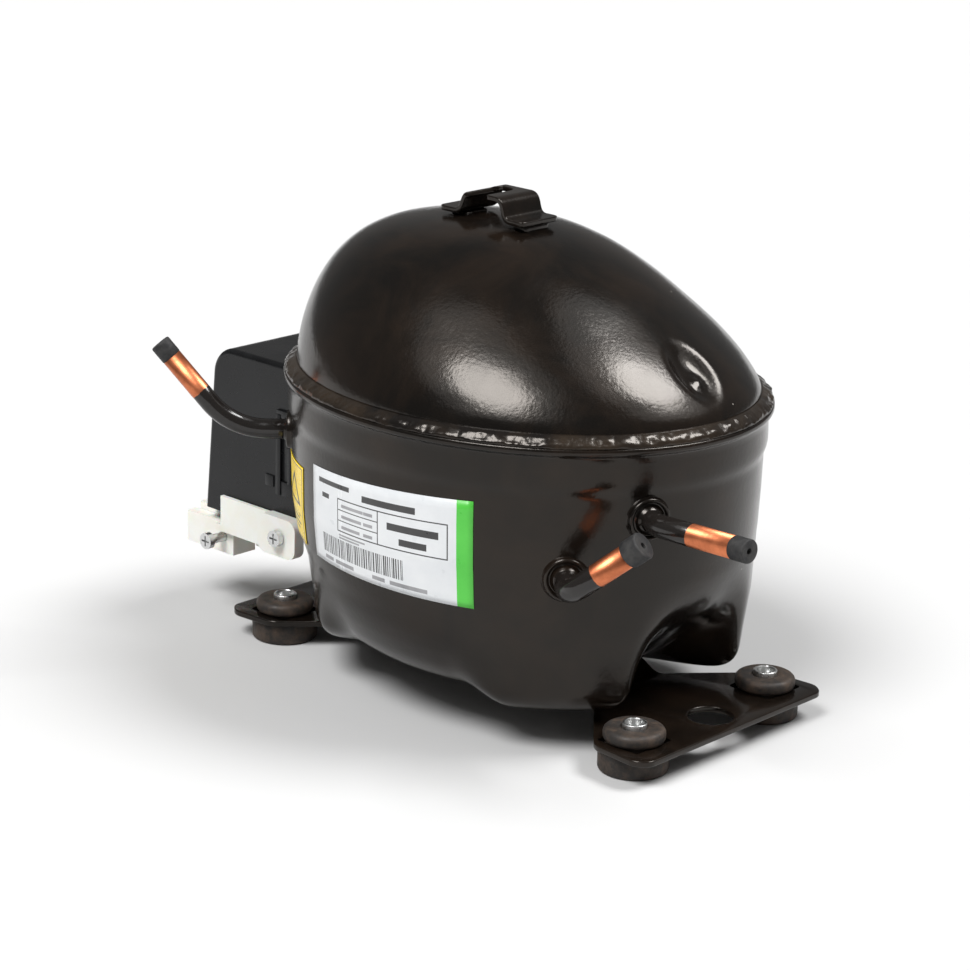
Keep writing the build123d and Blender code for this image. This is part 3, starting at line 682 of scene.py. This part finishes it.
plug_rubber = rubber("plug rubber", (0.016, 0.016, 0.017), (0.06, 0.058, 0.055))
suction_out = Vector((0.695, -0.719, 0.0)).normalized()
discharge_out = Vector((0.90, -0.43, 0.0)).normalized()
process_out = Vector((-0.72, -0.69, 0.0)).normalized()
suction_at = Vector((63.0, -47.4, 65.0))
discharge_at = Vector((78.5, -27.2, 85.0))
process_at = Vector((-68.5, -44.2, 85.0))
suction_elbow = suction_at + suction_out * 19.0
suction_tip = Vector((95.5, -54.5, 82.0))
suction_end = (suction_tip - suction_elbow).normalized()
discharge_elbow = discharge_at + discharge_out * 11.0
discharge_end = Vector((1.0, -0.05, 0.04)).normalized()
discharge_tip = discharge_elbow + discharge_end * 33.0
process_elbow = process_at + process_out * 24.0
process_end = Vector((-0.52, -0.40, 0.76)).normalized()
process_tip = process_elbow + process_end * 33.0
# each ends with its radius, bend radius, bare copper length and how far its boss stands out
lines = [("suction", suction_at, suction_out, suction_elbow, suction_tip, suction_end,
          4.0, 9.0, 13.5, 3.4),
         ("discharge", discharge_at, discharge_out, discharge_elbow, discharge_tip, discharge_end,
          3.9, 16.0, 18.0, 3.3),
         ("process", process_at, process_out, process_elbow, process_tip, process_end,
          3.6, 26.0, 16.0, 2.3)]
for name, at, out_way, elbow, tip, end, r, bend, band, stand in lines:
    skin = masked_copper(name + " copper", tip - end * band, end)
    bent_tube(name + "_line", [at - out_way * 7.0, elbow, tip], bend, r, skin, (name + "_tube",))
    boss = turned([(r - 0.3, 3.2), (r + 0.4, 2.6), (r + 0.8, 1.5), (r + 1.3, 0.9), (r + 2.0, 0.8)]
                  + arc(r + 2.7, 1.3, 0.75, 200, 0, 7)
                  + [(r + 3.6, 0.6), (r + 4.0, -0.2), (r + 4.9, -1.0), (r + 5.4, -3.0)], 64)
    twist = out_way.to_track_quat("Z", "Y").to_matrix().to_4x4()
    boss_place = Matrix.Translation((at + out_way * stand) * mm) @ twist
    bmesh.ops.transform(boss, matrix=boss_place, verts=boss.verts)
    finish(boss, name + "_boss", shell_paint)
    head = r + (0.75 if name == "suction" else 0.12)
    plug = turned([(0.0, 1.6), (1.0, 1.5), (1.1, 6.2)] + arc(head - 0.6, 5.9, 0.6, 90, 0, 4)
                  + [(head, 3.2), (head, 0.3), (head - 0.15, 0.0), (r - 0.82, 0.0), (r - 0.9, -6.6),
                     (r - 1.4, -7.0), (0.0, -7.0)], 48)
    twist = end.to_track_quat("Z", "Y").to_matrix().to_4x4()
    bmesh.ops.transform(plug, matrix=Matrix.Translation(tip * mm) @ twist, verts=plug.verts)
    finish(plug, name + "_stopper", plug_rubber, body=name + "_plug", replaces=(name + "_plug",),
           angle=45)

# ---------------------------------------------------------------- rating label
# Printed plastic film on the label side, set a little askew, with a green band
# at one end, a ruled table, plain blocks for print and a strip of bars.


def on_wall(x, z, lift):
    """Point on the lower shell's front long wall, lifted off it."""
    a, b = bowl_size(z)
    a, b = a + lift, b + lift
    x_here = max(-a, min(a, x - bowl_drift(z)))
    return Vector((x, -b * math.sqrt(1 - (x_here / a) ** 2), z)) * mm


def printed(name, corners, marks, materials, lift, replaces):
    """A film on the wall; corners give its edges and marks its printed boxes in a 0..1 square."""
    (x0, z0), (x1, z1), (x2, z2), (x3, z3) = corners
    cuts_u = sorted({k / 30 for k in range(31)} | {m[0] for m in marks} | {m[1] for m in marks})
    cuts_v = sorted({k / 8 for k in range(9)} | {m[2] for m in marks} | {m[3] for m in marks})
    bm = bmesh.new()
    grid = []
    for v in cuts_v:
        line = []
        for u in cuts_u:
            x = (1 - v) * ((1 - u) * x0 + u * x1) + v * ((1 - u) * x3 + u * x2)
            z = (1 - v) * ((1 - u) * z0 + u * z1) + v * ((1 - u) * z3 + u * z2)
            line.append(bm.verts.new(on_wall(x, z, lift)))
        grid.append(line)
    for j in range(len(cuts_v) - 1):
        for i in range(len(cuts_u) - 1):
            face = bm.faces.new((grid[j][i], grid[j][i + 1], grid[j + 1][i + 1], grid[j + 1][i]))
            u, v = (cuts_u[i] + cuts_u[i + 1]) / 2, (cuts_v[j] + cuts_v[j + 1]) / 2
            for u0, u1, v0, v1, slot in marks:
                if u0 < u < u1 and v0 < v < v1:
                    face.material_index = slot
    piece = finish(bm, name, materials[0], replaces=replaces)
    for extra in materials[1:]:
        piece.data.materials.append(extra)
    return wall(piece, 0.12 * mm)


def film(name, one, two, rough=0.32):
    """Printed film with a faint unevenness of tone and a little sheen."""
    made, tree, shader = start(name)
    tree.links.new(blend(tree, spread(tree, grain(tree, 0.012, 5.0, 0.6), 0.3, 0.7, 0.0, 1.0), one, two),
                   shader.inputs["Base Color"])
    sheen = spread(tree, grain(tree, 0.006, 3.0), 0.3, 0.7, rough - 0.05, rough + 0.08)
    tree.links.new(sheen, shader.inputs["Roughness"])
    tree.links.new(relief(tree, grain(tree, 0.009, 2.0), 0.00006), shader.inputs["Normal"])
    return made


white_film = film("white film", (0.66, 0.68, 0.70), (0.74, 0.755, 0.765))
green_film = film("green film", (0.07, 0.50, 0.05), (0.10, 0.58, 0.07))
dark_ink = film("dark ink", (0.030, 0.030, 0.032), (0.055, 0.055, 0.055))
grey_ink = film("grey ink", (0.22, 0.22, 0.23), (0.36, 0.36, 0.37))
rule = 0.006
# (left, right, bottom, top, ink) as shares of the label: the band and the headings here,
# then the table's rules, the small print, the bars and the last line
marks = [(0.925, 1.0, 0.0, 1.0, 1), (0.06, 0.31, 0.855, 0.905, 2), (0.40, 0.72, 0.80, 0.865, 2),
         (0.09, 0.15, 0.71, 0.76, 2), (0.56, 0.84, 0.60, 0.67, 2), (0.63, 0.78, 0.47, 0.535, 2)]
for u in (0.22, 0.50, 0.88):
    marks.append((u, u + rule, 0.42, 0.76, 2))
for v in (0.42, 0.75):
    marks.append((0.22, 0.886, v, v + 0.012, 2))
for v in (0.53, 0.64):
    marks.append((0.22, 0.50, v, v + 0.010, 2))
for v in (0.455, 0.565, 0.675):
    marks.append((0.25, 0.34 + 0.1 * v, v, v + 0.032, 3))
    marks.append((0.41, 0.47, v, v + 0.032, 3))
for v, wide in ((0.375, 0.19), (0.345, 0.15)):
    marks.append((0.23, 0.23 + wide, v, v + 0.018, 3))
u = 0.09
for k in range(46):
    bar = 0.0035 + 0.0052 * ((k * 7919) % 5) / 4.0
    marks.append((u, u + bar, 0.13, 0.33, 2))
    u += bar + 0.0038 + 0.0050 * ((k * 104729) % 4) / 3.0
for u0, u1 in ((0.10, 0.17), (0.19, 0.33), (0.46, 0.54), (0.57, 0.78)):
    marks.append((u0, u1, 0.055, 0.095, 3))
printed("label_film", [(-33.4, 52.2), (39.8, 51.6), (39.8, 89.2), (-33.4, 85.6)], marks,
        [white_film, green_film, dark_ink, grey_ink], 0.28, ("rating_label",))

# ---------------------------------------------------------------- caution sticker
# Small yellow film with a black frame and a plain black triangle, near the
# relay.
yellow_film = film("yellow film", (0.86, 0.60, 0.015), (0.93, 0.68, 0.03), 0.28)
marks = [(0.04, 0.96, 0.03, 0.97, 1), (0.065, 0.935, 0.042, 0.958, 0), (0.14, 0.86, 0.335, 0.345, 1)]
for k in range(26):
    v0, v1 = 0.47 + 0.38 * k / 26, 0.47 + 0.38 * (k + 1) / 26
    side = 0.36 * (1 - k / 26)
    marks.append((0.5 - side, 0.5 + side, v0, v1, 1))
    if 2 <= k < 22:
        side = 0.36 * (1 - k / 26) - 0.075
        marks.append((0.5 - side, 0.5 + side, v0, v1, 0))
for v, wide in ((0.27, 0.5), (0.20, 0.58), (0.13, 0.42)):
    marks.append((0.5 - wide / 2, 0.5 + wide / 2, v, v + 0.028, 1))
printed("sticker_film", [(-66.0, 53.5), (-43.6, 52.0), (-42.8, 81.0), (-64.8, 80.2)], marks,
        [yellow_film, dark_ink], 0.25, ("warning_sticker",))

# ---------------------------------------------------------------- relay cover
# Moulded black plastic box over the start relay, with a large round on its upper
# outer edge and latch ribs on its front beside the shell; it hooks on a bracket.


def dress(name, material, edge=0.0):
    """Gives a carried-over node its material and eases its edges by `edge` millimetres."""
    piece = nodes[name]
    piece.data.materials.clear()
    piece.data.materials.append(material)
    if edge:
        eased = piece.modifiers.new("eased", "BEVEL")
        eased.width = edge * mm
        eased.segments = 2
        eased.limit_method = "ANGLE"
        eased.angle_limit = math.radians(38)
    return piece


def plastic(name, one, two, rough, size=0.02):
    """Moulded plastic with a fine mould texture and slight handling marks."""
    made, tree, shader = start(name)
    shader.inputs["Specular IOR Level"].default_value = 0.30
    tree.links.new(blend(tree, spread(tree, grain(tree, size, 5.0, 0.6), 0.4, 0.75, 0.0, 1.0), one, two),
                   shader.inputs["Base Color"])
    handled = spread(tree, grain(tree, 0.01, 4.0), 0.3, 0.7, rough - 0.06, rough + 0.08)
    tree.links.new(handled, shader.inputs["Roughness"])
    tree.links.new(relief(tree, grain(tree, 0.0007, 2.0), 0.00002), shader.inputs["Normal"])
    return made


black_moulding = plastic("black moulding", (0.0035, 0.0037, 0.0042), (0.008, 0.0082, 0.009), 0.27)
dress("relay_cover", black_moulding, 0.5)
dress("start_relay", black_moulding, 0.6)
dress("overload_protector", black_moulding, 0.5)
dress("cover_bracket", shell_paint, 0.3)

cover_front = -33.0
# (x from, x to, z from, z to, how proud): the ribs of the latch and its plate
ribs = [(-91.5, -80.5, 53.0, 58.5, 0.9), (-91.5, -89.0, 53.0, 84.0, 1.3),
        (-85.6, -83.6, 58.0, 84.0, 1.0), (-91.5, -80.5, 82.5, 85.5, 1.1),
        (-89.5, -80.5, 57.0, 84.0, 0.35), (-98.0, -93.5, 55.0, 59.5, 0.5)]
bm = bmesh.new()
for x0, x1, z0, z1, proud in ribs:
    made = bmesh.ops.create_cube(bm, size=1.0)["verts"]
    bmesh.ops.scale(bm, vec=Vector((x1 - x0, proud + 0.4, z1 - z0)) * mm, verts=made)
    middle = Vector(((x0 + x1) / 2, cover_front - proud / 2 + 0.2, (z0 + z1) / 2))
    bmesh.ops.translate(bm, vec=middle * mm, verts=made)
bmesh.ops.bevel(bm, geom=list(bm.edges), offset=0.3 * mm, segments=2, profile=0.5, affect="EDGES",
                material=-1)
finish(bm, "cover_latch", black_moulding, body="cover", angle=40)

# ---------------------------------------------------------------- cord clamp
# White nylon clamp blocks in front of and under the relay cover, with the bar
# that two cross-recessed screws pull down on the cord.
made, tree, shader = start("white nylon")
shader.inputs["Subsurface Weight"].default_value = 0.2
shader.inputs["Subsurface Scale"].default_value = 0.003
aged = spread(tree, grain(tree, 0.012, 4.0, 0.6), 0.35, 0.8, 0.0, 1.0)
tree.links.new(blend(tree, aged, (0.84, 0.84, 0.81), (0.80, 0.78, 0.68)), shader.inputs["Base Color"])
tree.links.new(spread(tree, grain(tree, 0.006, 3.0), 0.3, 0.7, 0.34, 0.5), shader.inputs["Roughness"])
tree.links.new(relief(tree, grain(tree, 0.001, 2.0), 0.00004), shader.inputs["Normal"])
white_nylon = made
dress("cord_clamp", white_nylon, 0.7)
dress("clamp_bar", white_nylon, 0.5)
dress("clamp_screws", bright_zinc, 0.2)
dress("earth_screw", bright_zinc, 0.3)

# ---------------------------------------------------------------- pump and motor
# Everything sealed inside: cast-iron frame, slide-block pump, two-pole motor and
# its springs, in bare metals, copper wire and heat-proof plastic.


def bare_metal(name, one, two, rough, size=0.004, stretch=None, metallic=1.0, depth=0.00002):
    """Machined, cast or rolled metal with a grain of its own."""
    made, tree, shader = start(name, Metallic=metallic)
    tone = spread(tree, grain(tree, size, 5.0, 0.62, stretch=stretch), 0.3, 0.72, 0.0, 1.0)
    tree.links.new(blend(tree, tone, one, two), shader.inputs["Base Color"])
    tree.links.new(spread(tree, tone, 0.0, 1.0, rough - 0.06, rough + 0.1), shader.inputs["Roughness"])
    marks_left = grain(tree, size / 4, 4.0, stretch=stretch)
    tree.links.new(relief(tree, marks_left, depth), shader.inputs["Normal"])
    return made


grey_iron = bare_metal("grey cast iron", (0.16, 0.155, 0.15), (0.26, 0.25, 0.24), 0.55, 0.003,
                       metallic=0.85, depth=0.0001)
ground_steel = bare_metal("ground steel", (0.50, 0.50, 0.49), (0.64, 0.64, 0.63), 0.26, 0.003,
                          stretch=(1, 1, 12))
spring_steel = bare_metal("oiled spring steel", (0.24, 0.235, 0.23), (0.36, 0.35, 0.34), 0.32, 0.003)
plates = bare_metal("stacked plates", (0.20, 0.20, 0.21), (0.34, 0.34, 0.35), 0.42, 0.004, (0.1, 0.1, 9))
wire = bare_metal("enamelled wire", (0.42, 0.15, 0.05), (0.62, 0.26, 0.10), 0.3, 0.002,
                  stretch=(1, 1, 7), metallic=0.9, depth=0.0002)
cast_aluminium = bare_metal("cast aluminium", (0.55, 0.55, 0.56), (0.70, 0.70, 0.71), 0.4, 0.003,
                            depth=0.00008)
copper_line = bare_metal("copper line", (0.70, 0.30, 0.16), (0.86, 0.42, 0.25), 0.28, 0.005)
pressed_steel = bare_metal("pressed steel", (0.36, 0.36, 0.36), (0.48, 0.48, 0.47), 0.36, 0.006)
fibre = plastic("gasket fibre", (0.10, 0.13, 0.10), (0.16, 0.19, 0.15), 0.7, 0.003)
heat_proof = plastic("heat-proof plastic", (0.60, 0.55, 0.42), (0.68, 0.64, 0.52), 0.42)
# node: (material, how far its edges are eased)
wearing = {
    "crankcase": (grey_iron, 0.5), "crankshaft": (ground_steel, 0.2),
    "piston": (ground_steel, 0.2), "slide_block": (ground_steel, 0.2),
    "oil_plug": (ground_steel, 0), "thrust_washer": (ground_steel, 0),
    "valve_plate": (ground_steel, 0), "suction_reed": (spring_steel, 0),
    "discharge_reed": (spring_steel, 0), "reed_stop": (pressed_steel, 0),
    "cylinder_gasket": (fibre, 0), "head_gasket": (fibre, 0),
    "cylinder_head": (cast_aluminium, 0.5), "head_screws": (bright_zinc, 0.2),
    "stator_screws": (bright_zinc, 0.2), "suction_muffler": (heat_proof, 0.8),
    "discharge_muffler": (pressed_steel, 0.6), "shock_loop": (copper_line, 0),
    "stator_core": (plates, 0), "stator_windings": (wire, 0), "rotor_core": (plates, 0),
    "rotor_rings": (cast_aluminium, 0.4), "oil_pickup": (pressed_steel, 0),
    "spring_upper_seats": (pressed_steel, 0.3), "spring_lower_seats": (pressed_steel, 0.3),
    "spring_front_tube_end": (spring_steel, 0), "spring_back_tube_end": (spring_steel, 0),
    "spring_front_relay_end": (spring_steel, 0), "spring_back_relay_end": (spring_steel, 0),
    "terminal_cup": (pressed_steel, 0), "terminal_pins": (ground_steel, 0),
}
for name, (material, edge) in wearing.items():
    dress(name, material, edge)
